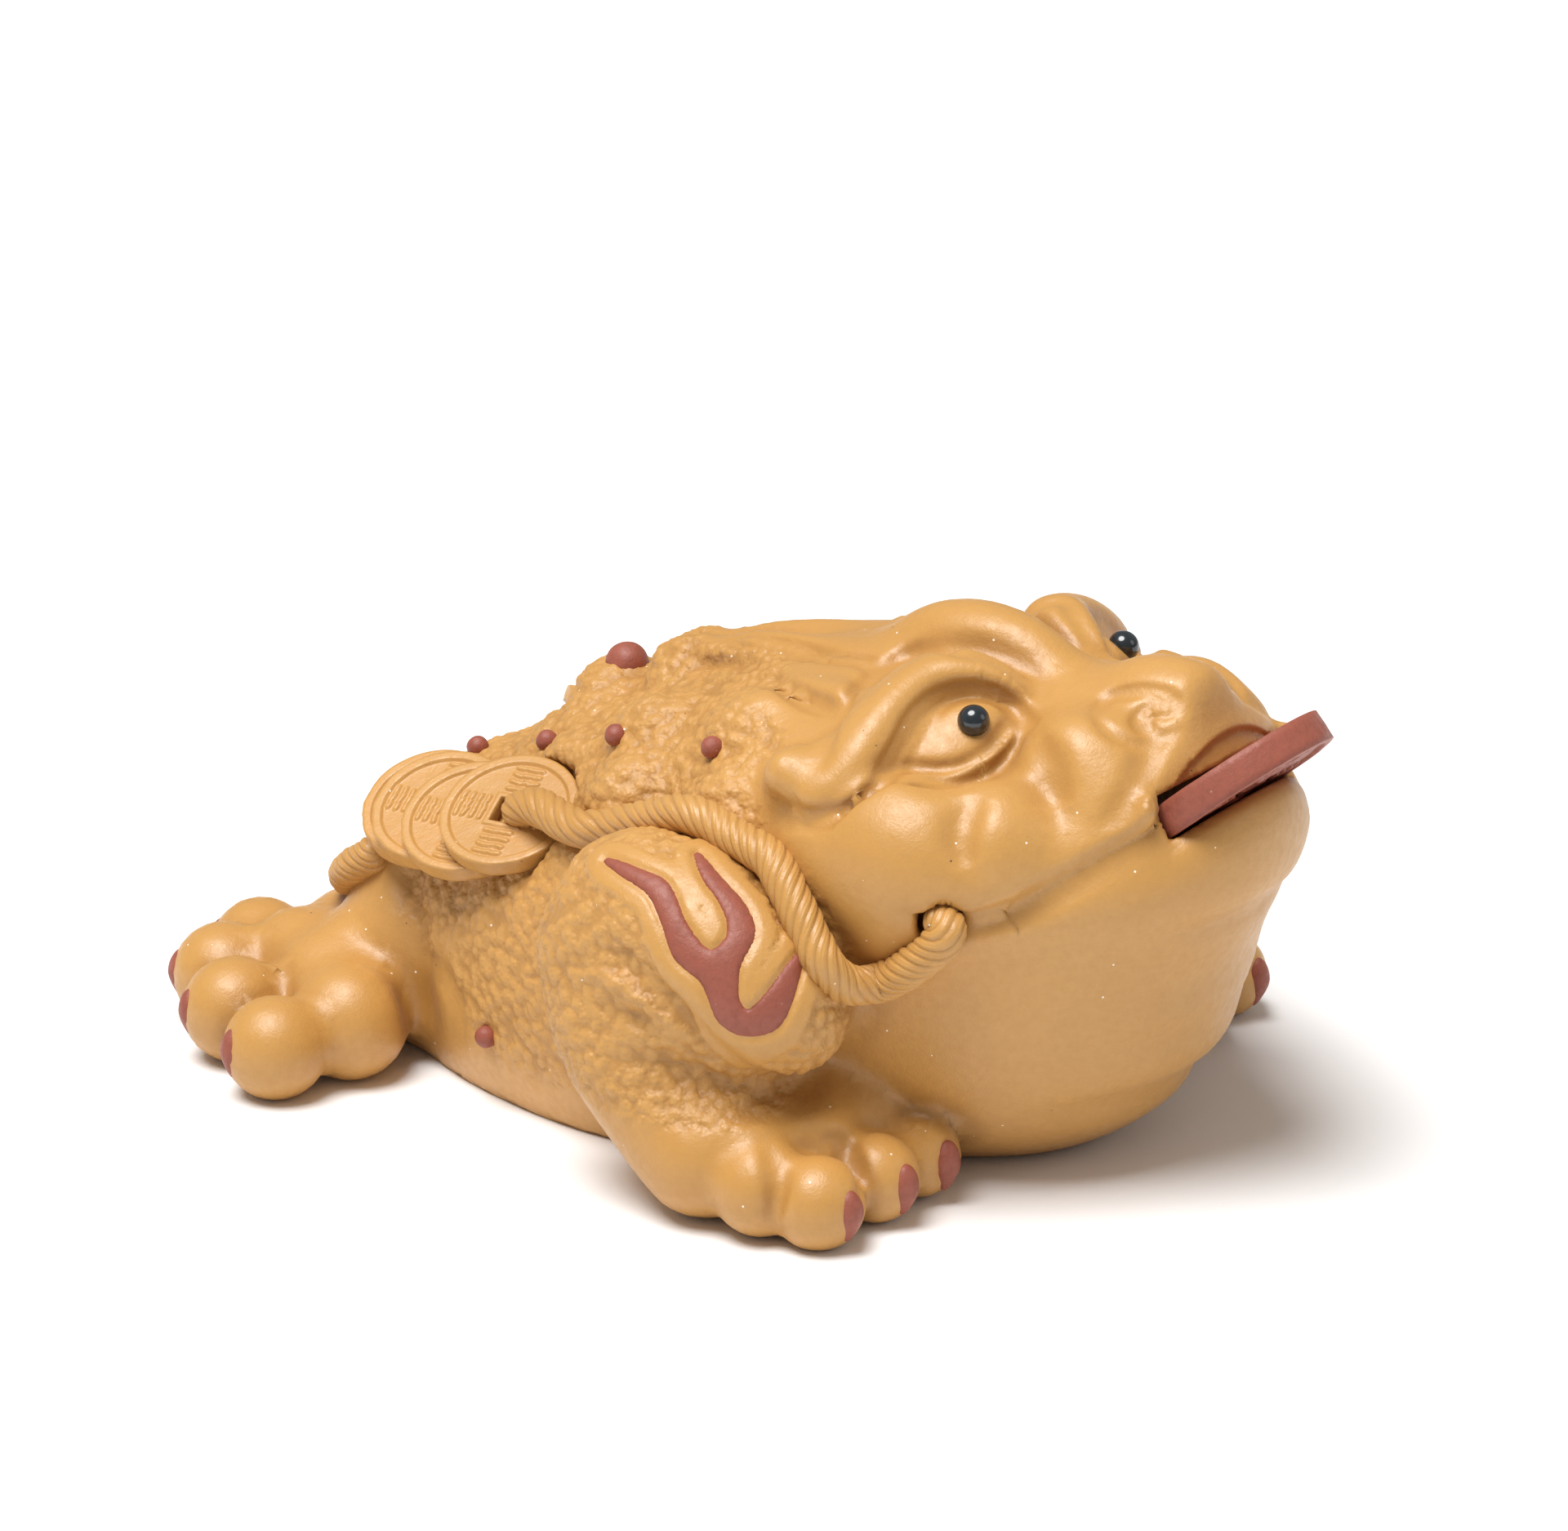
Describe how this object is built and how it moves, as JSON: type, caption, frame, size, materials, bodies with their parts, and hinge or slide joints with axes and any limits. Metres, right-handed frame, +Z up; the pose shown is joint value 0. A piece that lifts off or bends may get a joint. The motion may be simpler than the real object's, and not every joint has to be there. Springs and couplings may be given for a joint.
{
  "type": "toad figure",
  "caption": "Squat unglazed clay toad with a round holed coin in its mouth, fans of coins and twisted rope along its back, and inlaid red clay warts, claws and flames",
  "frame": {"origin": "on the flat underside, on the middle plane of the figure, below the middle of the back", "axes": "X across the toad with its left side at +X, -Y the way it faces, Z up from the underside"},
  "size_m": [0.1006, 0.1421, 0.0625],
  "materials": {
    "clay": "unglazed fired yellow clay, finely grained, with a soft sheen",
    "red_clay": "unglazed fired brownish red clay, satin",
    "bead": "glossy slate black"
  },
  "bodies": {
    "root": {"toad_body": "clay", "rope_right": "clay", "rope_left": "clay", "rope_rump": "clay", "coin_right_1": "clay", "coin_right_2": "clay", "coin_right_3": "clay", "coin_right_4": "clay", "coin_left_1": "clay", "coin_left_2": "clay", "coin_left_3": "clay", "coin_left_4": "clay", "wart_right_1": "red_clay", "wart_right_2": "red_clay", "wart_right_3": "red_clay", "wart_right_4": "red_clay", "wart_right_flank": "red_clay", "wart_left_1": "red_clay", "wart_left_2": "red_clay", "wart_left_3": "red_clay", "wart_left_4": "red_clay", "wart_left_flank": "red_clay", "wart_great": "red_clay", "claw_right_1": "red_clay", "claw_right_2": "red_clay", "claw_right_3": "red_clay", "claw_left_1": "red_clay", "claw_left_2": "red_clay", "claw_left_3": "red_clay", "claw_hind_1": "red_clay", "claw_hind_2": "red_clay", "claw_hind_3": "red_clay", "claw_hind_4": "red_clay", "flame_right": "red_clay", "flame_left": "red_clay", "coin_mouth": "red_clay", "eye_right": "bead", "eye_left": "bead"}
  },
  "joints": []
}
